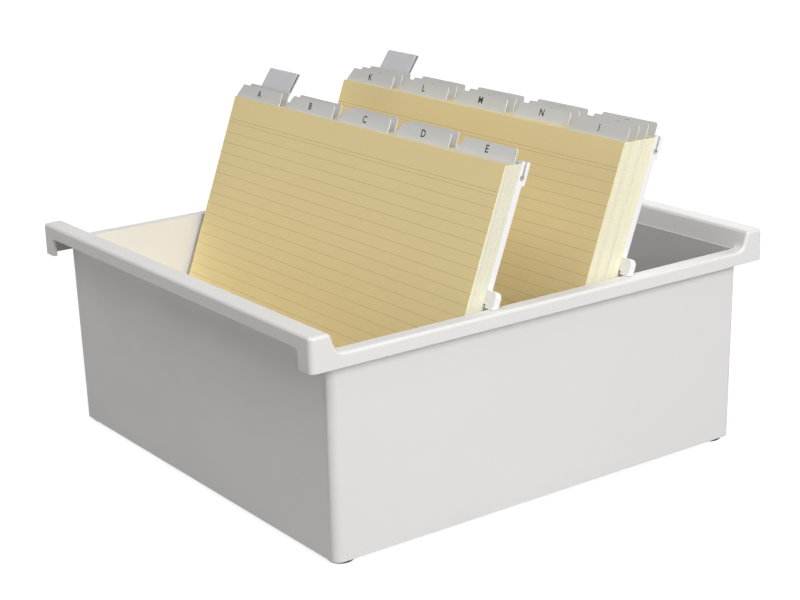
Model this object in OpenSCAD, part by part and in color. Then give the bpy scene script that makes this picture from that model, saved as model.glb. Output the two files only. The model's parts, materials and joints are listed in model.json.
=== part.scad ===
// Open card-index tray with two leaning packs of cards, lettered guides and sliding support plates.
// Millimetres, +Z up, front towards -Y. The origin is the middle of the footprint, at ground level.

/* [Cards] */
// Width of a card, left to right
card_w = 210; // [140:1:300]
// Height of a card, along its own face
card_h = 148; // [110:1:215]
// Lean of the packs and plates, back from upright
lean = 21; // [12:0.5:28]
// Thickness of the loose cards at the front of each pack
first_stack_t = 0.7; // [0.3:0.05:2]
// Thickness of the cards behind one guide of the front pack
front_stack_t = 0.3; // [0.2:0.02:0.6]
// Thickness of the cards behind one guide of the rear pack
rear_stack_t = 0.52; // [0.2:0.02:0.8]
// Air between neighbouring sheets
sheet_gap = 0.06; // [0.03:0.01:0.15]

/* [Guides] */
// Thickness of a guide sheet
guide_t = 0.3; // [0.2:0.05:0.6]
// Height of a guide's tab above the sheet
tab_h = 6.5; // [5:0.5:14]
// Width of a guide's tab
tab_w = 33; // [22:1:36]
// Number of tab places across a guide
tab_places = 5; // [3:1:5]
// Radius of the hollow fillets where a tab leaves the sheet
tab_fillet = 1; // [0.5:0.5:4]
// How far a tab's left side slants in from foot to crest
tab_slant = 2.5; // [0:0.5:4]
// Radius of a tab's upper corners
tab_round = 1.2; // [0.5:0.1:2.5]

/* [Tray] */
// Inside length of the tray at its foot, front to back
floor_len = 215; // [190:1:340]
// Room beside a card at the foot of the tray, on each side
side_play = 2.2; // [1.5:0.1:4]
// Thickness of the walls
wall = 2; // [1.5:0.1:3]
// Thickness of the floor
floor_t = 2.5; // [1.5:0.1:4]
// Height of the top of the floor above the ground
floor_z = 9; // [7:0.5:14]
// How far each side wall leans out from foot to rim
side_draft = 1.4; // [0.5:0.1:4]
// How far the front and back walls lean out from foot to rim
end_draft = 0.8; // [0.2:0.1:4]
// Radius of the upright edges of the tray
wall_round = 4; // [3:0.5:8]

/* [Rim] */
// Height of the side rims above the ground
rim_z = 91; // [75:1:110]
// Height of the raised front and back lips above the side rims
lip_rise = 8.5; // [3:0.5:12]
// Width of the flat top of a lip, front to back
lip_w = 9.5; // [7:0.5:10]
// Distance from a lip's outer face back to the wall under it
lip_set = 10.6; // [10.2:0.1:16]
// Height of the short skirt along the front and back lips
lip_skirt = 6; // [4:0.5:7]
// Overhang of the side rims beyond the side walls
rim_out = 4.4; // [4:0.1:10]
// Depth of the skirt below the top of the side rims
rim_skirt = 6; // [5:0.5:12]
// Thickness of the rims, lips and skirts
rim_t = 2; // [1.5:0.1:2.5]
// Radius of the hollow where the slope behind a lip runs out on a side rim
lip_toe = 4.5; // [1.5:0.5:8]
// Width of the corner legs that close the ends of the lips
leg_w = 9; // [6:0.5:14]
// Radius of the upright corners of the rim
rim_round = 2.5; // [1:0.5:4]

/* [Feet] */
// Height of a foot pad
foot_h = 2; // [1:0.5:4]
// Diameter of a foot pad
foot_d = 12; // [8:0.5:13]
// Diameter of the stem that plugs a foot into the tray
stem_d = 5; // [3:0.5:6]
// Length of the stem
stem_l = 3.4; // [2:0.1:4]
// Room round a stem in its socket
stem_play = 0.1; // [0.05:0.05:0.3]
// Distance from a foot's middle to the walls beside it
foot_inset = 7; // [7:0.5:20]

/* [Support plates] */
// Distance from the front lip's face to the foot of the front pack
front_pack_y = 50.5; // [45:0.5:60]
// Distance from the front lip's face to the foot of the rear pack
rear_pack_y = 115; // [108:0.5:125]
// Thickness of a plate's panel
panel_t = 2.2; // [1.5:0.1:3.5]
// Thickness of the border round a plate's panel
border_t = 3; // [2.5:0.1:4.5]
// Width of the border round a plate's panel
border_w = 3.5; // [2:0.5:8]
// Number of stiffening ribs up the back of a plate
rib_count = 3; // [1:1:6]
// Thickness of a stiffening rib
rib_t = 1.8; // [1:0.1:3]
// Thickness of the head rail along the top of a plate
head_t = 4.4; // [4:0.1:7]
// Height of the head rail
head_h = 10; // [9:0.5:16]
// Width of the slit along the head rail
slit_w = 1.1; // [0.8:0.1:1.6]
// Depth of the slit
slit_deep = 7; // [5:0.5:8]
// Diameter of the round channel at the bottom of the slit
slit_bulb = 2.4; // [1.8:0.1:3]
// Reach of an ear past the edge of its plate
ear_out = 6.5; // [6:0.5:9]
// Height of an ear
ear_h = 7.5; // [5:0.5:10]
// Radius of an ear's upper outer corner
ear_round = 2.5; // [1:0.5:4]
// Side of the small relief cut under an ear, beside the plate
ear_relief = 1.4; // [0.8:0.1:2]
// Room between an ear and the rim it slides on
ear_play = 0.2; // [0.1:0.05:0.4]
// Room between a sheet or plate and the tray's floor
floor_play = 0.25; // [0.1:0.05:0.4]

/* [Label tabs] */
// Width of a label tab
label_w = 24.5; // [15:0.5:40]
// Height of a label tab above its head rail
label_h = 14.5; // [9:0.5:20]
// Thickness of a label tab over both leaves
label_t = 2; // [1.8:0.1:4]
// Tilt of a label tab, back from its plate
label_tilt = 14; // [0:1:25]
// Thickness of one leaf
leaf_t = 0.5; // [0.4:0.1:0.7]
// Room between a label tab and its rail
label_play = 0.1; // [0.05:0.05:0.2]
// Distance from the left edge of the front plate to its label tab
front_label_x = 4; // [0.5:0.5:150]
// Distance from the left edge of the rear plate to its label tab
rear_label_x = 1; // [0.5:0.5:150]

/* [Hidden] */
$fn = 48;
// Steps in a quarter turn or a swept curve
curve_steps = 8;
// Overshoot of a cut past the faces it opens
cut = 1;
// Least radius of the tray's inner corners
least_round = 0.5;
// Width of the step where the slope behind a lip meets the wall
slope_step = 0.3;
front_marks = ["a", "b", "c", "d", "e", "f", "g", "h", "i"];
rear_marks = ["j", "k", "l", "m", "n", "o", "p", "q", "r", "s", "t", "u", "v", "w", "xy", "z"];
// The rear pack starts at the right, where the front row of letters ends
rear_first_place = 4;

inner_w = card_w + 2 * side_play;
tray_w = inner_w + 2 * (wall + side_draft + rim_out);
tray_d = floor_len + 2 * (wall + end_draft + lip_set);
lip_z = rim_z + lip_rise;
// Run of the slope behind a lip for each unit of height, and its tilt from level
slope_run = (lip_set + wall - slope_step - lip_w) / lip_rise;
slope_tilt = atan(1 / slope_run);
toe_round = min(lip_toe, lip_rise);
wall_rise = rim_z - foot_h;
front_y = -tray_d / 2;
rest_z = floor_z + floor_play;

front_first_y = front_y + front_pack_y;
rear_first_y = front_y + rear_pack_y;
front_plate_y = front_first_y + pack_depth(len(front_marks), front_stack_t) / cos(lean);
rear_plate_y = rear_first_y + pack_depth(len(rear_marks), rear_stack_t) / cos(lean);

tray_colour = [0.86, 0.86, 0.85];
plate_colour = [0.92, 0.92, 0.91];
label_colour = [0.70, 0.70, 0.71];
guide_colour = [0.72, 0.71, 0.70];
card_colour = [0.85, 0.76, 0.52];
foot_colour = [0.10, 0.10, 0.10];

// Thickness of a pack, square to its sheets, up to the plate behind it
function pack_depth(guides, stack_t) = first_stack_t + sheet_gap + guides * section_depth(stack_t);
// Thickness of one guide and the cards behind it
function section_depth(stack_t) = guide_t + stack_t + 2 * sheet_gap;
// Depth of guide number i in its pack, square to the sheets
function guide_depth(i, stack_t) = first_stack_t + sheet_gap + i * section_depth(stack_t);
// Points of an arc about a centre
function arc(centre, radius, from, to) =
    [for (i = [0:curve_steps]) let (a = from + (to - from) * i / curve_steps)
        centre + radius * [cos(a), sin(a)]];
// Distance from the lip's face to the slope behind it, at a height
function slope_y(z) = lip_w + (lip_z - z) * slope_run;
// Top line of a side rim from front to back, as [distance from the front lip's face, height]
function half_rim_line() = concat(
    [[0, lip_z], [lip_w, lip_z]],
    arc(
        [slope_y(rim_z) + toe_round * tan(slope_tilt / 2), rim_z + toe_round],
        toe_round, 270 - slope_tilt, 270
    )
);
function rim_line() = concat(
    half_rim_line(),
    [for (p = reversed(half_rim_line())) [tray_d - p.x, p.y]]
);
function reversed(points) = [for (i = [len(points) - 1:-1:0]) points[i]];

// Rectangle with round corners about the origin
module rounded_rect(w, d, r) {
    x = w / 2 - r;
    y = d / 2 - r;
    polygon(concat(
        arc([x, y], r, 0, 90),
        arc([-x, y], r, 90, 180),
        arc([-x, -y], r, 180, 270),
        arc([x, -y], r, 270, 360)
    ));
}

// Size of the tray's plan at a height, inset from the outer faces of the walls
function plan(z, inset) = let (lean_out = (z - foot_h) / wall_rise) [
    inner_w + 2 * (wall - inset + side_draft * lean_out),
    floor_len + 2 * (wall - inset + end_draft * lean_out)
];

// Drafted block between two heights, inset from the outer faces of the walls
module drafted_block(z0, z1, inset) {
    low = plan(z0, inset);
    high = plan(z1, inset);
    translate([0, 0, z0])
        linear_extrude(z1 - z0, scale = [high.x / low.x, high.y / low.y], slices = 1)
            rounded_rect(low.x, low.y, max(wall_round - inset, least_round));
}

// Draws a YZ outline as a bar along X between two places
module bar_x(x0, x1) {
    translate([x0, 0, 0]) rotate([90, 0, 90]) linear_extrude(x1 - x0) children();
}

// Leans its children back on the plane whose foot is at y, raised until a slab of thickness t clears the floor
module leaning(y, t) {
    lift = t * sin(lean);
    translate([0, y + lift * tan(lean), rest_z + lift]) rotate([-lean, 0, 0]) children();
}

// Draws a sheet's XZ outline as a leaning slab of thickness t
module leaning_sheet(y, t) {
    leaning(y, t) rotate([90, 0, 0]) mirror([0, 0, 1]) linear_extrude(t) children();
}

// Side rim: the top skin that follows the rim line, and the skirt outside it
module side_rim() {
    x_in = inner_w / 2 + side_draft + wall / 2;
    x_out = tray_w / 2;
    translate([0, front_y, 0]) {
        bar_x(x_in, x_out)
            polygon(concat(rim_line(), [for (p = reversed(rim_line())) p - [0, rim_t]]));
        bar_x(x_out - rim_t, x_out)
            polygon(concat(rim_line(), [[tray_d, rim_z - rim_skirt], [0, rim_z - rim_skirt]]));
    }
}

// Raised lip of the front: skirt, flat top and the slope that joins it to the wall
module lip() {
    slope_t = rim_t / sin(slope_tilt);
    low = rim_z - rim_t;
    under = lip_z - rim_t;
    translate([0, front_y, 0])
        bar_x(-tray_w / 2, tray_w / 2)
            polygon([
                [0, lip_z - lip_skirt], [0, lip_z], [lip_w, lip_z],
                [slope_y(rim_z), rim_z], [slope_y(rim_z), low],
                [slope_y(low) - slope_t, low], [slope_y(under) - slope_t, under],
                [rim_t, under], [rim_t, lip_z - lip_skirt]
            ]);
}

// Corner leg that carries the side skirt's depth round onto the lip
module corner_leg() {
    low = rim_z - rim_skirt;
    high = lip_z - lip_skirt;
    bend = rim_t;
    translate([0, front_y + rim_t, 0]) rotate([90, 0, 0]) linear_extrude(rim_t)
        polygon(concat(
            [[tray_w / 2, low], [tray_w / 2, lip_z], [tray_w / 2 - leg_w - bend, lip_z]],
            arc([tray_w / 2 - leg_w - bend, high - bend], bend, 90, 0),
            [[tray_w / 2 - leg_w, low]]
        ));
}

module rim() {
    intersection() {
        union() {
            for (side = [0, 1]) mirror([side, 0, 0]) side_rim();
            for (end = [0, 1]) mirror([0, end, 0]) {
                lip();
                for (side = [0, 1]) mirror([side, 0, 0]) corner_leg();
            }
        }
        translate([0, 0, foot_h]) linear_extrude(lip_z) rounded_rect(tray_w, tray_d, rim_round);
    }
}

// Places its children at the four feet
module at_feet() {
    for (x = [-1, 1], y = [-1, 1])
        translate([x * (inner_w / 2 + wall - foot_inset), y * (floor_len / 2 + wall - foot_inset), 0])
            children();
}

module tray() {
    color(tray_colour)
        difference() {
            union() {
                difference() {
                    drafted_block(foot_h, rim_z, 0);
                    drafted_block(floor_z, rim_z + cut, wall);
                    drafted_block(foot_h - cut, floor_z - floor_t, wall);
                }
                at_feet() translate([0, 0, foot_h]) cylinder(d = foot_d, h = floor_z - floor_t - foot_h + cut);
                rim();
            }
            at_feet() translate([0, 0, foot_h - cut])
                cylinder(d = stem_d + 2 * stem_play, h = stem_l + stem_play + cut);
        }
}

module feet() {
    color(foot_colour)
        at_feet()
            rotate_extrude()
                polygon([
                    [0, 0], [foot_d / 2 - foot_h / 2, 0], [foot_d / 2, foot_h / 2], [foot_d / 2, foot_h],
                    [stem_d / 2, foot_h], [stem_d / 2, foot_h + stem_l], [0, foot_h + stem_l]
                ]);
}

// Panel, border, ribs and head rail of a plate, upright with its front face on Y = 0
module plate_body() {
    rib_step = (card_w - border_w) / (rib_count + 1);
    difference() {
        union() {
            translate([-card_w / 2, 0, 0]) cube([card_w, panel_t, card_h]);
            translate([-card_w / 2, 0, 0]) cube([card_w, border_t, border_w]);
            for (i = [0:rib_count + 1]) {
                edge = i == 0 || i == rib_count + 1;
                t = edge ? border_w : rib_t;
                translate([-card_w / 2 + border_w / 2 + i * rib_step - t / 2, 0, 0])
                    cube([t, border_t, card_h - head_h + cut]);
            }
            translate([-card_w / 2, 0, card_h - head_h]) cube([card_w, head_t, head_h]);
        }
        translate([-card_w / 2 - cut, head_t / 2, card_h - slit_deep]) {
            translate([0, -slit_w / 2, 0]) cube([card_w + 2 * cut, slit_w, slit_deep + cut]);
            rotate([0, 90, 0]) cylinder(d = slit_bulb, h = card_w + 2 * cut);
        }
    }
}

// Ear at the right of a plate, flush with its border and cut level where it slides on the rim
module ear(y) {
    low = rim_z + ear_play;
    foot = (low - rest_z) / cos(lean) - border_t * tan(lean);
    x_in = card_w / 2 - border_w / 2;
    x_out = card_w / 2 + ear_out;
    corner = [x_out - ear_round, foot + ear_h - ear_round];
    difference() {
        leaning_sheet(y, border_t)
            polygon(concat(
                [[x_in, foot - cut], [x_out, foot - cut]],
                arc(corner, ear_round, 0, 90),
                [[x_in, foot + ear_h]]
            ));
        translate([x_in - cut, front_y, low - ear_h]) cube([ear_out + border_w + 2 * cut, tray_d, ear_h]);
        translate([card_w / 2, front_y, low - cut]) cube([ear_relief, tray_d, ear_relief + cut]);
    }
}

module support_plate(y) {
    color(plate_colour) {
        leaning(y, border_t) plate_body();
        for (side = [0, 1]) mirror([side, 0, 0]) ear(y);
    }
}

// Label tab: a folded pocket with a round crest, tilted back, and the tongue that runs in the slit
module label_tab(plate_y, x) {
    crest = label_h - label_t / 2;
    tongue_t = slit_w - 2 * label_play;
    lift = label_t / 2 * sin(label_tilt);
    color(label_colour)
        leaning(plate_y, border_t)
            translate([0, head_t / 2, card_h + label_play])
                bar_x(x, x + label_w) {
                    translate([0, lift]) rotate(-label_tilt)
                        difference() {
                            union() {
                                translate([-label_t / 2, 0]) square([label_t, crest]);
                                translate([0, crest]) circle(d = label_t);
                            }
                            translate([-label_t / 2 + leaf_t, leaf_t])
                                square([label_t - 2 * leaf_t, crest - leaf_t]);
                            translate([0, crest]) circle(d = label_t - 2 * leaf_t);
                        }
                    translate([-tongue_t / 2, -slit_deep + label_play])
                        square([tongue_t, slit_deep - label_play + lift + leaf_t / 2]);
                }
}

// Outline of a guide: the sheet and one tab, at a place counted from the left
module guide_outline(place) {
    step = card_w / tab_places;
    left = -card_w / 2 + (place + 0.5) * step - tab_w / 2;
    right = left + tab_w;
    crest = card_h + tab_h;
    polygon(concat(
        [[-card_w / 2, 0], [card_w / 2, 0], [card_w / 2, card_h]],
        arc([right + tab_fillet, card_h + tab_fillet], tab_fillet, 270, 180),
        arc([right - tab_round, crest - tab_round], tab_round, 0, 90),
        arc([left + tab_slant + tab_round, crest - tab_round], tab_round, 90, 180),
        arc([left - tab_fillet, card_h + tab_fillet], tab_fillet, 360, 270),
        [[-card_w / 2, card_h]]
    ));
}

module guide(pack_y, i, stack_t, first_place) {
    color(guide_colour)
        leaning_sheet(pack_y + guide_depth(i, stack_t) / cos(lean), guide_t)
            guide_outline((i + first_place) % tab_places);
}

// Cards of thickness t whose front face lies at a depth in the pack
module cards(pack_y, depth, t) {
    color(card_colour)
        leaning_sheet(pack_y + depth / cos(lean), t)
            translate([-card_w / 2, 0]) square([card_w, card_h]);
}

// Cards behind guide number i of a pack
module cards_behind(pack_y, i, stack_t) {
    cards(pack_y, guide_depth(i, stack_t) + guide_t + sheet_gap, stack_t);
}

tray();
feet();
support_plate(front_plate_y);  // front_support_plate
support_plate(rear_plate_y);  // rear_support_plate
label_tab(front_plate_y, front_label_x - card_w / 2);  // front_label_tab
label_tab(rear_plate_y, rear_label_x - card_w / 2);  // rear_label_tab
cards(front_first_y, 0, first_stack_t);  // cards_before_a
cards(rear_first_y, 0, first_stack_t);  // cards_before_j
for (i = [0:len(front_marks) - 1]) {
    guide(front_first_y, i, front_stack_t, 0);
    cards_behind(front_first_y, i, front_stack_t);
}
for (i = [0:len(rear_marks) - 1]) {
    guide(rear_first_y, i, rear_stack_t, rear_first_place);
    cards_behind(rear_first_y, i, rear_stack_t);
}
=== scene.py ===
import json
import math
import random

import bmesh
import bpy
from bpy.props import FloatProperty, FloatVectorProperty, IntProperty, PointerProperty
from mathutils import Matrix, Vector

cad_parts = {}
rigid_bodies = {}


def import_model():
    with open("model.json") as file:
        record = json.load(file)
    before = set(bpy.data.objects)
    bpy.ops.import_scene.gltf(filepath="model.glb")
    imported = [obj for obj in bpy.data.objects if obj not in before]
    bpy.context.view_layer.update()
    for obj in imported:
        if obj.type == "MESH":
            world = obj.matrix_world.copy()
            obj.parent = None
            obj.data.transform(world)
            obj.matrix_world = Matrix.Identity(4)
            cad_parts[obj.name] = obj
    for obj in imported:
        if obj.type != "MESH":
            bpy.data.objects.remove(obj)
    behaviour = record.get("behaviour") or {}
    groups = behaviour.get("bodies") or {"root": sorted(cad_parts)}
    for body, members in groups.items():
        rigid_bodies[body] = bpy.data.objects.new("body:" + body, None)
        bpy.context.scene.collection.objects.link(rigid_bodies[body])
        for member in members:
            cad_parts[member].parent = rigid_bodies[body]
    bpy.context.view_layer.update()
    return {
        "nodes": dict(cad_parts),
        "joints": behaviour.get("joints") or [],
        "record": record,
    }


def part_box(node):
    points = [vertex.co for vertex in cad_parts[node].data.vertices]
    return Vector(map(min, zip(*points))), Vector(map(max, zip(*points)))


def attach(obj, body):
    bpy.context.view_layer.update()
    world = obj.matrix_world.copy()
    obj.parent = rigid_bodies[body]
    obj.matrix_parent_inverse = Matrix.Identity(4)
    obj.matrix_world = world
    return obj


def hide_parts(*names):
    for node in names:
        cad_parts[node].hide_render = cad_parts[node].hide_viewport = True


bl_info = {
    "name": "Card index tray",
    "version": (1, 0, 0),
    "blender": (4, 5, 0),
    "location": "View3D > Sidebar > Card tray",
    "description": "Dresses a card index tray with moulded edges, separate cards and lettered guides",
    "category": "Object",
}

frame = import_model()
BODIES = frame["record"]["behaviour"]["bodies"]
PLATES = ("front_plate", "rear_plate")
TAB_PLACES = 5  # tabs side by side across a pack
TAB_FOOT = 0.002  # both foot fillets of a tab together
RIM_CORNER = 0.0026  # reach of the rim's corner arcs
CREASE = math.radians(28)  # a sharper edge is rounded or kept as a crease
FLAT = math.radians(0.2)  # faces closer in angle than this are one face
JOIN = 1e-6  # points closer than this are one point
SPECK = 1e-5  # play when a point of a guide is placed
RIM_SPECK = 3e-5  # play when a point of the rim is placed
UPWARD = 0.2  # least rise of the normal of a face that looks up
FACING = 0.7  # least share of a guide's facing direction in the normal of its printed faces
RIM_SEGMENTS, EDGE_SEGMENTS, LABEL_SEGMENTS = 5, 3, 2  # steps of the roundings
LEAF_FILL = 0.99  # share of a card's pitch that is card
LETTER_BOLD = 0.02  # growth of a letter's strokes, as a share of its type size
LETTER_STEPS = 4  # points along each curve of a letter
FACE, EDGE, INK = range(3)  # places of a sheet's materials
CLOUD, GLOSS = 14.0, 60.0  # noise scales of the plain finishes
GLOSS_SPREAD = 0.05
INK_WEAR, PAPER_CLOUD, PAPER_FIBRE, PAPER_TOOTH = 900.0, 22.0, 1500.0, 1800.0  # noise scales of the cards
SENSOR_WIDTH = 36.0  # millimetres
LIGHT_AIM = Vector((0, 0, 0.07))
SOFTBOXES = (  # name, the studio value that holds its power, place, size
    ("Key softbox", "key", (1.45, -0.05, 0.9), 1.0),
    ("Top softbox", "top", (0.3, -0.6, 1.6), 1.2),
    ("Front softbox", "front", (-0.5, -1.6, 0.3), 0.9),
    ("Back softbox", "back", (-1.0, 1.3, 0.7), 1.0),
)
FLOOR_REACH = 8.0
FLOOR_GREYS = ((0.34, 0.34, 0.34), (0.36, 0.36, 0.36))
FLOOR_POOL = (0.25, 1.0)  # distances from the tray between which the floor turns to full white


def colour_property(name, description, default):
    """A colour a user may change, in linear light."""
    return FloatVectorProperty(
        name=name, description=description, default=default, size=3, min=0.0, max=1.0, subtype="COLOR"
    )


def length_property(name, description, default):
    """A length a user may change, in metres."""
    return FloatProperty(name=name, description=description, default=default, unit="LENGTH", precision=5)


def angle_property(name, description, degrees):
    """An angle a user may change, given in degrees."""
    return FloatProperty(name=name, description=description, default=math.radians(degrees), unit="ROTATION")


def power_property(name, description, default):
    """A lamp's power a user may change, in watts."""
    return FloatProperty(name=name, description=description, default=default, unit="POWER")


class CardTrayColours(bpy.types.PropertyGroup):
    """Colours of the tray, its plates, guides and cards"""

    tray: colour_property("Tray", "Moulded plastic of the tray", (0.775, 0.768, 0.755))
    plate: colour_property("Plates", "Moulded plastic of the support plates", (0.90, 0.895, 0.885))
    label: colour_property("Label tabs", "Folded film of the label tabs", (0.66, 0.66, 0.68))
    guide: colour_property("Guides", "Printed face of the guides", (0.73, 0.725, 0.715))
    # Guide edges: the cut edge's tone, whitened as a painted highlight of the key light from the right
    guide_edge_with_painted_highlight: colour_property("Guide edges", "Cut edges of the guides", (0.95, 0.945, 0.90))
    ink: colour_property("Letters", "Ink of the guide letters", (0.018, 0.018, 0.02))
    card: colour_property("Cards", "Face of the index cards", (0.985, 0.80, 0.42))
    # Card edges: the cut edge's own tone, raised paler as painted light from the key at the right
    card_edge_with_painted_light: colour_property("Card edges", "Cut edges of the index cards", (0.98, 0.94, 0.64))
    rule: colour_property("Rules", "Printed rules of the index cards", (0.52, 0.36, 0.15))
    rubber: colour_property("Feet", "Rubber of the feet", (0.02, 0.02, 0.02))


class CardTraySizes(bpy.types.PropertyGroup):
    """Sizes of the details that the looks add"""

    lean: angle_property("Lean", "Lean of the packs from upright", 21)
    rim_round: length_property("Rim rounding", "Rounding of the rim's upper edges", 0.0014)
    rim_band: length_property("Rim band", "Height below the lips in which the tray's edges are rounded", 0.02)
    edge_round: length_property("Edge rounding", "Rounding of the rim's other edges", 0.0004)
    plate_round: length_property("Plate rounding", "Rounding of the support plates' edges", 0.0004)
    label_round: length_property("Label rounding", "Rounding of the label tabs' edges", 0.00015)
    foot_round: length_property("Foot rounding", "Rounding of the feet", 0.0004)
    leaf: length_property("Card thickness", "Thickness of one card with its share of air", 0.00018)
    stray: length_property("Card stray", "How far a card may lie to one side", 0.00006)
    bow: length_property("Bow", "How far the upper corners of a pack's first card come forward", 0.001)
    tab: length_property("Tab width", "Width of a guide's tab at its foot", 0.038)
    strips: IntProperty(name="Strips", description="Strips across a bowed sheet", default=14, min=2)
    letter: length_property("Letter height", "Height of a guide's letter", 0.0033)
    letter_foot: length_property("Letter foot", "Height of a letter's foot above the card tops", 0.0019)
    ink_lift: length_property("Ink lift", "Height of the ink above the guide", 0.00003)
    row_pitch: length_property("Row pitch", "Distance between the rules of a card", 0.0051)
    head_rule: length_property("Head rule", "Distance from a card's top to its first head rule", 0.0112)
    head_gap: length_property("Head rule gap", "Distance between the two head rules", 0.0016)
    rule_half: length_property("Half rule width", "Half the width of a printed rule", 0.00013)


class CardTrayStudio(bpy.types.PropertyGroup):
    """Camera and light"""

    camera_place: FloatVectorProperty(
        name="Camera", description="Place of the camera", default=(0.65305, -0.46191, 0.30818),
        size=3, subtype="TRANSLATION", unit="LENGTH",
    )
    azimuth: angle_property("Azimuth", "Turn of the view from the front", 54.57)
    elevation: angle_property("Elevation", "Downward tilt of the view", 17.0)
    roll: angle_property("Roll", "Roll of the view", -1.66)
    lens: FloatProperty(
        name="Lens", description="Focal length on a sensor 36 mm wide", default=80.95, unit="CAMERA"
    )
    key: power_property("Key light", "Power of the softbox at the right", 23.2)
    top: power_property("Top light", "Power of the softbox overhead", 12.0)
    front: power_property("Front light", "Power of the low softbox in front", 3.5)
    back: power_property("Back light", "Power of the softbox behind the tray", 5.0)
    ambient: FloatProperty(name="Ambient", description="Strength of the light from all round", default=0.02)
    floor_glow: FloatProperty(
        name="Floor white", description="White that the camera sees near the tray, beside the lit floor",
        default=0.86, min=0.0, max=1.0, subtype="FACTOR",
    )


def add_node(tree, kind, sockets=None, **options):
    """A shader node with its options and socket values."""
    made = tree.nodes.new(kind)
    for name, value in options.items():
        setattr(made, name, value)
    for name, value in (sockets or {}).items():
        made.inputs[name].default_value = value
    return made


def arithmetic(tree, operation, first, second):
    """Output of a Math node; each operand is a socket or a number."""
    made = add_node(tree, "ShaderNodeMath", operation=operation)
    for place, operand in enumerate((first, second)):
        if isinstance(operand, bpy.types.NodeSocket):
            tree.links.new(operand, made.inputs[place])
        else:
            made.inputs[place].default_value = operand
    return made.outputs[0]


def mapped(tree, source, from_low, from_high, to_low, to_high):
    """Output of a clamped Map Range node."""
    made = add_node(tree, "ShaderNodeMapRange", {
        "From Min": from_low, "From Max": from_high, "To Min": to_low, "To Max": to_high,
    })
    tree.links.new(source, made.inputs["Value"])
    return made.outputs["Result"]


def mixed_colours(tree, factor, first, second):
    """Output of a colour mix; each colour is a socket or three numbers."""
    made = add_node(tree, "ShaderNodeMix", data_type="RGBA")
    tree.links.new(factor, made.inputs[0])
    for place, colour in ((6, first), (7, second)):
        if isinstance(colour, bpy.types.NodeSocket):
            tree.links.new(colour, made.inputs[place])
        else:
            made.inputs[place].default_value = (*colour, 1.0)
    return made.outputs[2]


def noise(tree, scale, detail, coordinates):
    """Factor output of a noise texture."""
    made = add_node(tree, "ShaderNodeTexNoise", {"Scale": scale, "Detail": detail})
    tree.links.new(coordinates, made.inputs["Vector"])
    return made.outputs["Fac"]


def bump(tree, shader, height, strength, distance):
    """Bump of a height on a shader's normal."""
    made = add_node(tree, "ShaderNodeBump", {"Strength": strength, "Distance": distance})
    tree.links.new(height, made.inputs["Height"])
    tree.links.new(made.outputs["Normal"], shader.inputs["Normal"])


def seen_directly(tree):
    """Output that is 1 for what the camera, a reflection or clear material shows, and 0 for other light."""
    path = add_node(tree, "ShaderNodeLightPath")
    seen = arithmetic(tree, "MAXIMUM", path.outputs["Is Camera Ray"], path.outputs["Is Glossy Ray"])
    return arithmetic(tree, "MAXIMUM", seen, path.outputs["Is Transmission Ray"])


def scaled(colour, share):
    """A colour made lighter or darker, within white."""
    return tuple(min(1.0, part * share) for part in colour)


def new_material(name):
    """A node material, its tree, its shader and its object coordinates."""
    material = bpy.data.materials.new(name)
    material.use_nodes = True
    tree = material.node_tree
    shader = tree.nodes["Principled BSDF"]
    coordinates = add_node(tree, "ShaderNodeTexCoord").outputs["Object"]
    return material, tree, shader, coordinates


def grained(name, colour, roughness, grain, depth, clouding=0.03, specular=0.4):
    """Plastic, film, rubber, ink or cut paper: clouded colour, uneven gloss and a fine grain."""
    material, tree, shader, coordinates = new_material(name)
    cloud = noise(tree, CLOUD, 4.0, coordinates)
    tint = mixed_colours(tree, cloud, scaled(colour, 1 - clouding), scaled(colour, 1 + clouding))
    tree.links.new(tint, shader.inputs["Base Color"])
    uneven = noise(tree, GLOSS, 3.0, coordinates)
    gloss = mapped(tree, uneven, 0.3, 0.7, roughness - GLOSS_SPREAD, roughness + GLOSS_SPREAD)
    tree.links.new(gloss, shader.inputs["Roughness"])
    shader.inputs["Specular IOR Level"].default_value = specular
    bump(tree, shader, noise(tree, grain, 2.0, coordinates), 0.25, depth)
    return material


def plain_paper(name, colour):
    """Cut edge of paper or board; the edge colours it is given are paler than the edges' own tone, as painted
    light from the right.
    """
    return grained(name, colour, roughness=0.8, grain=2400.0, depth=0.00004, clouding=0.06, specular=0.15)


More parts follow.
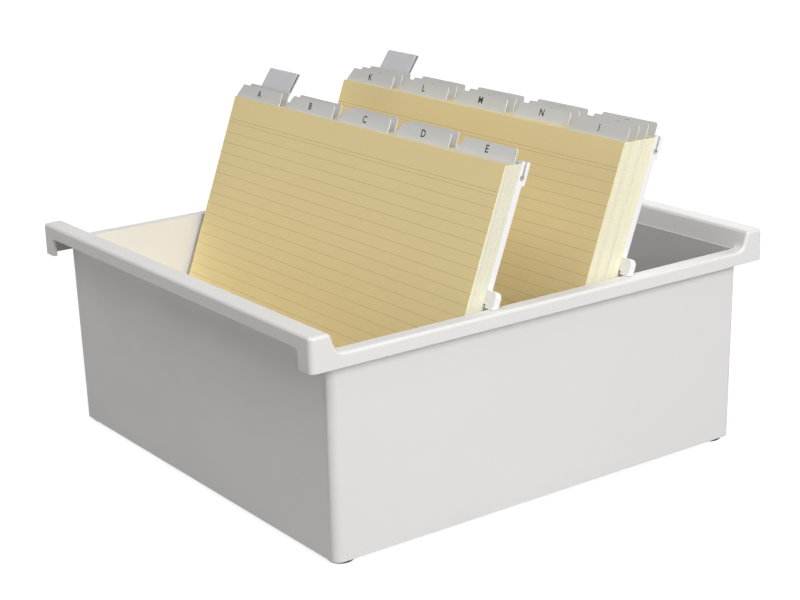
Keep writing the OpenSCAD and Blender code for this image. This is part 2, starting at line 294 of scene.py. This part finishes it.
def ruled_paper(name, colours, sizes):
    """Face of a card: paper fibres, two head rules and rows of rules below them."""
    material, tree, shader, coordinates = new_material(name)
    sheet = add_node(tree, "ShaderNodeUVMap", uv_map="Sheet").outputs["UV"]
    split = add_node(tree, "ShaderNodeSeparateXYZ")
    tree.links.new(sheet, split.inputs[0])
    down = split.outputs["Y"]
    first_row = sizes.head_rule + sizes.head_gap
    to_row = arithmetic(tree, "PINGPONG", arithmetic(tree, "SUBTRACT", down, first_row), sizes.row_pitch / 2)
    above = arithmetic(tree, "LESS_THAN", down, first_row - sizes.rule_half)
    to_row = arithmetic(tree, "ADD", to_row, above)
    to_head = arithmetic(tree, "ABSOLUTE", arithmetic(tree, "SUBTRACT", down, sizes.head_rule), 0.0)
    nearest = arithmetic(tree, "MINIMUM", to_row, to_head)
    line = mapped(tree, nearest, sizes.rule_half * 0.6, sizes.rule_half * 1.4, 1.0, 0.0)
    worn = mapped(tree, noise(tree, INK_WEAR, 2.0, coordinates), 0.3, 0.7, 0.35, 0.6)
    ink = arithmetic(tree, "MULTIPLY", line, worn)
    cloud = noise(tree, PAPER_CLOUD, 5.0, coordinates)
    paper = mixed_colours(tree, cloud, scaled(colours.card, 0.955), scaled(colours.card, 1.045))
    fibre = mapped(tree, noise(tree, PAPER_FIBRE, 4.0, coordinates), 0.35, 0.65, 0.0, 1.0)
    paper = mixed_colours(tree, fibre, paper, scaled(colours.card, 1.02))
    tree.links.new(mixed_colours(tree, ink, paper, colours.rule), shader.inputs["Base Color"])
    shader.inputs["Roughness"].default_value = 0.75
    shader.inputs["Specular IOR Level"].default_value = 0.2
    bump(tree, shader, noise(tree, PAPER_TOOTH, 4.0, coordinates), 0.3, 0.00005)
    return material


def material_of(name, make):
    """The material of that name, made the first time that it is asked for."""
    return bpy.data.materials.get(name) or make(name)


def finish(name, colour, **values):
    """A grained material of that name, made the first time that it is asked for."""
    return material_of(name, lambda made: grained(made, colour, **values))


def settings():
    """The three groups of values."""
    scene = bpy.context.scene
    return scene.card_tray_colours, scene.card_tray_sizes, scene.card_tray_studio


def link_piece(name, mesh, body, replaced, materials):
    """A finished piece that rides on its body and stands for a CAD node."""
    for material in materials:
        mesh.materials.append(material)
    piece = bpy.data.objects.new(name, mesh)
    bpy.context.scene.collection.objects.link(piece)
    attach(piece, body)
    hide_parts(replaced)
    return piece


def solid_of(node):
    """A CAD node's faces, with split points joined and flat areas whole."""
    shape = bmesh.new()
    shape.from_mesh(frame["nodes"][node].data)
    bmesh.ops.remove_doubles(shape, verts=shape.verts, dist=JOIN)
    bmesh.ops.dissolve_limit(
        shape, angle_limit=FLAT, verts=shape.verts, edges=shape.edges, use_dissolve_boundaries=False
    )
    for face in shape.faces:
        face.smooth = True
        face.material_index = FACE
    return shape


def finished_mesh(name, shape):
    """A mesh datablock from finished faces."""
    mesh = bpy.data.meshes.new(name)
    shape.to_mesh(mesh)
    shape.free()
    return mesh


def weigh_edges(shape, share_of):
    """Bevel weight of each sharp edge; share_of gives it from the edge's middle and whether it is convex.

    An edge without weight keeps its crease.
    """
    layer = shape.edges.layers.float.new("bevel_weight_edge")
    for edge in shape.edges:
        if len(edge.link_faces) == 2 and edge.calc_face_angle() > CREASE:
            middle = (edge.verts[0].co + edge.verts[1].co) / 2
            edge[layer] = share_of(middle, edge.is_convex)
            edge.smooth = edge[layer] > 0


def round_edges(piece, width, segments):
    """Rounding of a piece's weighted edges."""
    rounding = piece.modifiers.new("Rounded edges", "BEVEL")
    rounding.limit_method = "WEIGHT"
    rounding.width = width
    rounding.segments = segments
    rounding.use_clamp_overlap = True
    rounding.harden_normals = True
    rounding.miter_outer = "MITER_ARC"
    shading = piece.modifiers.new("Even shading", "WEIGHTED_NORMAL")
    shading.keep_sharp = True


def every_edge(middle, convex):
    """Full rounding for each sharp edge."""
    return 1.0


def rounded_copy(
    name, node, body, width, segments, material, share_of=every_edge, prepare=None
):
    """A CAD node's form with rounded edges; prepare may shape it before that."""
    shape = solid_of(node)
    if prepare:
        prepare(shape)
    weigh_edges(shape, share_of)
    piece = link_piece(name, finished_mesh(name, shape), body, node, [material])
    round_edges(piece, width, segments)
    return piece


class LeaningSheet:
    """Place of a leaning sheet: x along its foot, up its face, and depth behind its face."""

    def __init__(self, node, lean):
        low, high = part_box(node)
        run, rise = high.y - low.y, high.z - low.z
        self.sine, self.cosine = math.sin(lean), math.cos(lean)
        spread = self.cosine ** 2 - self.sine ** 2
        self.height = (rise * self.cosine - run * self.sine) / spread
        self.thickness = (run * self.cosine - rise * self.sine) / spread
        self.half_width = (high.x - low.x) / 2
        self.middle_x = (high.x + low.x) / 2
        self.foot_y = low.y
        self.foot_z = low.z + self.thickness * self.sine

    def point(self, x, up, depth):
        """Point of the model for a place on the sheet."""
        return Vector((
            self.middle_x + x,
            self.foot_y + up * self.sine + depth * self.cosine,
            self.foot_z + up * self.cosine - depth * self.sine,
        ))

    def local(self, point):
        """Place on the sheet of a point of the model."""
        y, z = point.y - self.foot_y, point.z - self.foot_z
        return (
            point.x - self.middle_x, y * self.sine + z * self.cosine, y * self.cosine - z * self.sine
        )


def bowed(sheet, card_height, bow, x, up, depth):
    """Place on a bowed sheet: its upper corners come forward."""
    return sheet.point(x, up, depth - bow * (x / sheet.half_width) ** 2 * up / card_height)


def pack_sections(plate):
    """The bodies of a plate's pack, from the front, each with its share of the bow."""
    children = [
        joint["child"] for joint in frame["joints"]
        if joint["parent"] == plate and joint["type"] == "hinge"
    ]
    return [(body, 1 - place / len(children)) for place, body in enumerate(children)]


def nodes_of(body, start):
    """The nodes of a body whose names begin with start."""
    return [node for node in BODIES[body] if node.startswith(start)]


def letter_faces(text, height):
    """Points and faces of a word in the built-in letters, centred on its foot, with capitals of a height."""
    curve = bpy.data.curves.new("Letter", "FONT")
    curve.body = text
    curve.offset = LETTER_BOLD
    curve.resolution_u = LETTER_STEPS
    holder = bpy.data.objects.new("Letter", curve)
    bpy.context.scene.collection.objects.link(holder)
    bpy.context.view_layer.update()
    mesh = bpy.data.meshes.new_from_object(holder.evaluated_get(bpy.context.evaluated_depsgraph_get()))
    lows = [min(vertex.co[axis] for vertex in mesh.vertices) for axis in (0, 1)]
    highs = [max(vertex.co[axis] for vertex in mesh.vertices) for axis in (0, 1)]
    share = height / (highs[1] - lows[1])
    middle = (lows[0] + highs[0]) / 2
    points = [((vertex.co.x - middle) * share, (vertex.co.y - lows[1]) * share) for vertex in mesh.vertices]
    faces = [tuple(face.vertices) for face in mesh.polygons]
    bpy.data.objects.remove(holder)
    bpy.data.curves.remove(curve)
    bpy.data.meshes.remove(mesh)
    return points, faces


class CARDTRAY_OT_tray(bpy.types.Operator):
    """Make the moulded tray with rounded rims, and its rubber feet"""

    bl_idname = "cardtray.tray"
    bl_label = "Tray and feet"

    def execute(self, context):
        colours, sizes, _ = settings()
        plastic = finish("Tray plastic", colours.tray, roughness=0.42, grain=2200.0, depth=0.00003)
        skirt_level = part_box("tray")[1].z - sizes.rim_band

        def share_of(middle, convex):
            return 1.0 if convex and middle.z > skirt_level else 0.0

        rounded_copy(
            "tray_shell", "tray", "tray", sizes.edge_round, EDGE_SEGMENTS, plastic, share_of,
            lambda shape: self.round_rim(shape, sizes.rim_round),
        )
        rubber = finish("Foot rubber", colours.rubber, roughness=0.7, grain=1500.0, depth=0.00005)
        rounded_copy(
            "rubber_feet", "feet", "tray", sizes.foot_round, EDGE_SEGMENTS, rubber
        )
        return {"FINISHED"}

    def round_rim(self, shape, width):
        """Round the upper edges along the rim's outline and around the lips' tops."""
        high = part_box("tray")[1]
        bmesh.ops.remove_doubles(shape, verts=shape.verts, dist=RIM_SPECK)
        shape.normal_update()

        def on_outline(place):
            across, along = abs(place.x) - high.x, abs(place.y) - high.y
            return max(across, along) > -RIM_SPECK or min(across, along) > -RIM_CORNER

        chosen = []
        for edge in shape.edges:
            if len(edge.link_faces) != 2 or not edge.is_convex or edge.calc_face_angle() < CREASE:
                continue
            ends = [vertex.co for vertex in edge.verts]
            on_top = all(place.z > high.z - RIM_SPECK for place in ends)
            upward = max(face.normal.z for face in edge.link_faces) > UPWARD
            if on_top or (upward and all(on_outline(place) for place in ends)):
                chosen.append(edge)
        bmesh.ops.bevel(
            shape, geom=chosen, offset=width, offset_type="OFFSET", segments=RIM_SEGMENTS, profile=0.5,
            affect="EDGES", clamp_overlap=True, miter_outer="SHARP", miter_inner="SHARP",
        )
        for face in shape.faces:
            face.smooth = True


class CARDTRAY_OT_plates(bpy.types.Operator):
    """Make the two support plates with their ears and slit head rails"""

    bl_idname = "cardtray.plates"
    bl_label = "Support plates"

    def execute(self, context):
        colours, sizes, _ = settings()
        plastic = finish("Plate plastic", colours.plate, roughness=0.4, grain=2200.0, depth=0.00003)
        for plate in PLATES:
            node = nodes_of(plate, plate.split("_")[0])[0]
            rounded_copy(
                plate + "_panel", node, plate, sizes.plate_round, EDGE_SEGMENTS, plastic
            )
        return {"FINISHED"}


class CARDTRAY_OT_label_tabs(bpy.types.Operator):
    """Make the folded label tabs that slide on the plates' head rails"""

    bl_idname = "cardtray.label_tabs"
    bl_label = "Label tabs"

    def execute(self, context):
        colours, sizes, _ = settings()
        film = finish("Label film", colours.label, roughness=0.3, grain=700.0, depth=0.00003)
        for plate in PLATES:
            body = plate.replace("plate", "label")
            node = nodes_of(body, body)[0]
            rounded_copy(
                body + "_pocket", node, body, sizes.label_round, LABEL_SEGMENTS, film
            )
        return {"FINISHED"}


class CARDTRAY_OT_guides(bpy.types.Operator):
    """Make the grey guides with white cut edges, whose white is partly a painted highlight, and a letter on
    each tab
    """

    bl_idname = "cardtray.guides"
    bl_label = "Lettered guides"

    def execute(self, context):
        colours, sizes, _ = settings()
        face = finish("Guide face", colours.guide, roughness=0.5, grain=1800.0, depth=0.00003)
        # the guide edge material carries a painted highlight: its colour is whiter than the cut edge's own
        # tone
        edge = material_of("Guide edge", lambda name: plain_paper(name, colours.guide_edge_with_painted_highlight))
        ink = finish("Guide ink", colours.ink, roughness=0.55, grain=2600.0, depth=0.00002)
        for plate in PLATES:
            for body, share in pack_sections(plate):
                for node in nodes_of(body, "guide_"):
                    mesh = self.sheet_mesh(node, sizes, share)
                    link_piece(node + "_sheet", mesh, body, node, [face, edge, ink])
        return {"FINISHED"}

    def sheet_mesh(self, node, sizes, share):
        """Sheet, tab and letter of one guide."""
        sheet = LeaningSheet(node, sizes.lean)
        card_height = LeaningSheet(node.replace("guide_", "cards_"), sizes.lean).height
        shape = solid_of(node)
        tab_middle = self.widen_tab(shape, sheet, card_height, sizes.tab)
        for strip in range(1, sizes.strips):
            x = sheet.middle_x + sheet.half_width * (2 * strip / sizes.strips - 1)
            everything = shape.verts[:] + shape.edges[:] + shape.faces[:]
            bmesh.ops.bisect_plane(shape, geom=everything, plane_co=(x, 0, 0), plane_no=(1, 0, 0))
        backward = Vector((0, sheet.cosine, -sheet.sine))
        shape.normal_update()
        for face in shape.faces:
            face.material_index = FACE if abs(face.normal.dot(backward)) > FACING else EDGE
            face.smooth = False
        bow = sizes.bow * share
        for vertex in shape.verts:
            vertex.co = bowed(sheet, card_height, bow, *sheet.local(vertex.co))
        points, faces = letter_faces(node[len("guide_"):].upper(), sizes.letter)
        foot = card_height + sizes.letter_foot
        made = [
            shape.verts.new(bowed(sheet, card_height, bow, tab_middle + x, foot + up, -sizes.ink_lift))
            for x, up in points
        ]
        for corners in faces:
            letter = shape.faces.new([made[corner] for corner in corners])
            letter.material_index = INK
        return finished_mesh(node + "_sheet", shape)

    def widen_tab(self, shape, sheet, card_height, width):
        """Spread a tab to its width, so that the outer tabs end at the sheet's sides; gives its middle."""
        places = [(vertex, *sheet.local(vertex.co)) for vertex in shape.verts]
        tab = [(vertex, x, up, depth) for vertex, x, up, depth in places
               if up > card_height - SPECK and abs(x) < sheet.half_width - SPECK]
        left, right = min(place[1] for place in tab), max(place[1] for place in tab)
        old_middle = (left + right) / 2
        reach = sheet.half_width - width / 2
        outermost = sheet.half_width * (1 - 1 / TAB_PLACES)
        middle = old_middle * reach / outermost
        for vertex, x, up, depth in tab:
            new_x = middle + (x - old_middle) * (width + TAB_FOOT) / (right - left)
            new_x = max(-sheet.half_width, min(sheet.half_width, new_x))
            vertex.co = sheet.point(new_x, up, depth)
        bmesh.ops.remove_doubles(shape, verts=shape.verts, dist=JOIN)
        return middle


class CARDTRAY_OT_cards(bpy.types.Operator):
    """Make the ruled index cards, a few separate ones behind each guide"""

    bl_idname = "cardtray.cards"
    bl_label = "Index cards"

    def execute(self, context):
        colours, sizes, _ = settings()
        face = material_of("Ruled card", lambda name: ruled_paper(name, colours, sizes))
        # the card edge material carries painted light: its colour is paler than the cut edge's own tone
        edge = material_of("Card edge", lambda name: plain_paper(name, colours.card_edge_with_painted_light))
        for plate in PLATES:
            for body, share in pack_sections(plate):
                for node in nodes_of(body, "cards_"):
                    mesh = self.stack_mesh(node, sizes, share)
                    link_piece(node + "_leaves", mesh, body, node, [face, edge])
        return {"FINISHED"}

    def stack_mesh(self, node, sizes, share):
        """The cards of one section, each a little out of line with the next."""
        sheet = LeaningSheet(node, sizes.lean)
        chance = random.Random(node)
        count = max(1, round(sheet.thickness / sizes.leaf))
        pitch = sheet.thickness / count
        shape = bmesh.new()
        flat = shape.loops.layers.uv.new("Sheet")
        for place in range(count):
            aside = chance.uniform(-sizes.stray, sizes.stray)
            short = chance.uniform(0.0, sizes.stray)
            self.add_card(
                shape, flat, sheet, sizes.strips, sizes.bow * share, aside, short,
                depth=place * pitch, thickness=pitch * LEAF_FILL,
            )
        return finished_mesh(node + "_leaves", shape)

    def add_card(self, shape, flat, sheet, strips, bow, aside, short, depth, thickness):
        """One bowed card as strips between its left and right edges."""
        rows = []
        head = sheet.height - short
        for strip in range(strips + 1):
            x = sheet.half_width * (2 * strip / strips - 1)
            corners = []
            for up, back in ((0.0, 0.0), (head, 0.0), (head, 1.0), (0.0, 1.0)):
                point = bowed(sheet, sheet.height, bow, x, up, depth + back * thickness)
                point.x += aside
                corners.append((shape.verts.new(point), (x + sheet.half_width, head - up)))
            rows.append(corners)
        quads = [(rows[0][::-1], EDGE), (rows[-1], EDGE)]
        for left, right in zip(rows, rows[1:]):
            for side in range(4):
                after = (side + 1) % 4
                quad = [left[side], right[side], right[after], left[after]]
                quads.append((quad, FACE if side in (0, 2) else EDGE))
        for quad, material in quads:
            face = shape.faces.new([corner[0] for corner in quad])
            face.material_index = material
            for loop, corner in zip(face.loops, quad):
                loop[flat].uv = corner[1]


class CARDTRAY_OT_stage(bpy.types.Operator):
    """Set up the camera, the white floor and the studio light"""

    bl_idname = "cardtray.stage"
    bl_label = "Stage"

    def execute(self, context):
        _, _, studio = settings()
        scene = context.scene
        scene.view_settings.view_transform = "Standard"
        self.add_camera(scene, studio)
        self.add_floor(scene, studio)
        self.add_world(scene, studio)
        for name, power, place, size in SOFTBOXES:
            self.add_softbox(scene, name, place, size, getattr(studio, power))
        return {"FINISHED"}

    def add_camera(self, scene, studio):
        """Camera with its view turned, tilted and rolled."""
        turn, tilt, roll = studio.azimuth, studio.elevation, studio.roll
        back = Vector((math.sin(turn) * math.cos(tilt), -math.cos(turn) * math.cos(tilt), math.sin(tilt)))
        right = Vector((0, 0, 1)).cross(back).normalized()
        up = back.cross(right)
        side = right * math.cos(roll) + up * math.sin(roll)
        rise = up * math.cos(roll) - right * math.sin(roll)
        data = bpy.data.cameras.new("View")
        data.sensor_fit = "HORIZONTAL"
        data.sensor_width = SENSOR_WIDTH
        data.lens = studio.lens
        data.clip_start = 0.01
        camera = bpy.data.objects.new("View", data)
        turned = Matrix((side, rise, back)).transposed().to_4x4()
        camera.matrix_world = Matrix.Translation(studio.camera_place) @ turned
        scene.collection.objects.link(camera)
        scene.camera = camera

    def add_floor(self, scene, studio):
        """Wide white floor that keeps a soft shadow."""
        mesh = bpy.data.meshes.new("Floor")
        corners = [(across * FLOOR_REACH, along * FLOOR_REACH, 0)
                   for across, along in ((-1, -1), (1, -1), (1, 1), (-1, 1))]
        mesh.from_pydata(corners, [], [(0, 1, 2, 3)])
        material = bpy.data.materials.new("Studio floor")
        material.use_nodes = True
        tree = material.node_tree
        tree.nodes.clear()
        coordinates = add_node(tree, "ShaderNodeTexCoord").outputs["Object"]
        lit = add_node(tree, "ShaderNodeBsdfDiffuse")
        tint = mixed_colours(tree, noise(tree, 2.0, 2.0, coordinates), *FLOOR_GREYS)
        tree.links.new(tint, lit.inputs["Color"])
        white = add_node(tree, "ShaderNodeEmission", {"Color": (1.0, 1.0, 1.0, 1.0)})
        seen = seen_directly(tree)
        distance = add_node(tree, "ShaderNodeVectorMath", operation="LENGTH")
        tree.links.new(coordinates, distance.inputs[0])
        glow = mapped(tree, distance.outputs["Value"], *FLOOR_POOL, studio.floor_glow, 1.0)
        tree.links.new(arithmetic(tree, "MULTIPLY", seen, glow), white.inputs["Strength"])
        both = add_node(tree, "ShaderNodeAddShader")
        tree.links.new(lit.outputs[0], both.inputs[0])
        tree.links.new(white.outputs[0], both.inputs[1])
        out = add_node(tree, "ShaderNodeOutputMaterial")
        tree.links.new(both.outputs[0], out.inputs["Surface"])
        mesh.materials.append(material)
        floor = bpy.data.objects.new("Floor", mesh)
        scene.collection.objects.link(floor)

    def add_world(self, scene, studio):
        """Even light from all round, white where the camera sees it."""
        world = bpy.data.worlds.new("Studio")
        world.use_nodes = True
        tree = world.node_tree
        background = tree.nodes["Background"]
        background.inputs["Color"].default_value = (1.0, 1.0, 1.0, 1.0)
        seen = seen_directly(tree)
        strength = mapped(tree, seen, 0.0, 1.0, studio.ambient, 1.0)
        tree.links.new(strength, background.inputs["Strength"])
        scene.world = world

    def add_softbox(self, scene, name, place, size, power):
        """Square softbox turned towards the tray."""
        data = bpy.data.lights.new(name, "AREA")
        data.shape = "SQUARE"
        data.size = size
        data.energy = power
        lamp = bpy.data.objects.new(name, data)
        lamp.location = place
        lamp.rotation_euler = (Vector(place) - LIGHT_AIM).to_track_quat("Z", "Y").to_euler()
        scene.collection.objects.link(lamp)


class CARDTRAY_PT_panel(bpy.types.Panel):
    """Buttons for the pieces of the card tray"""

    bl_idname = "CARDTRAY_PT_panel"
    bl_label = "Card tray"
    bl_space_type = "VIEW_3D"
    bl_region_type = "UI"
    bl_category = "Card tray"

    def draw(self, context):
        for operator in OPERATORS:
            self.layout.operator(operator.bl_idname)
        for values in settings():
            box = self.layout.box()
            for name in values.bl_rna.properties.keys():
                if name not in ("rna_type", "name"):
                    box.prop(values, name)


OPERATORS = (
    CARDTRAY_OT_stage,
    CARDTRAY_OT_tray,
    CARDTRAY_OT_plates,
    CARDTRAY_OT_label_tabs,
    CARDTRAY_OT_guides,
    CARDTRAY_OT_cards,
)
GROUPS = {
    "card_tray_colours": CardTrayColours,
    "card_tray_sizes": CardTraySizes,
    "card_tray_studio": CardTrayStudio,
}


def register():
    for group in GROUPS.values():
        bpy.utils.register_class(group)
    for name, group in GROUPS.items():
        setattr(bpy.types.Scene, name, PointerProperty(type=group))
    for operator in OPERATORS:
        bpy.utils.register_class(operator)
    bpy.utils.register_class(CARDTRAY_PT_panel)


def unregister():
    bpy.utils.unregister_class(CARDTRAY_PT_panel)
    for operator in reversed(OPERATORS):
        bpy.utils.unregister_class(operator)
    for name in GROUPS:
        delattr(bpy.types.Scene, name)
    for group in GROUPS.values():
        bpy.utils.unregister_class(group)


def main():
    register()
    bpy.ops.cardtray.stage()
    bpy.ops.cardtray.tray()
    bpy.ops.cardtray.plates()
    bpy.ops.cardtray.label_tabs()
    bpy.ops.cardtray.guides()
    bpy.ops.cardtray.cards()
    bpy.context.view_layer.update()


if __name__ == "__main__":
    main()
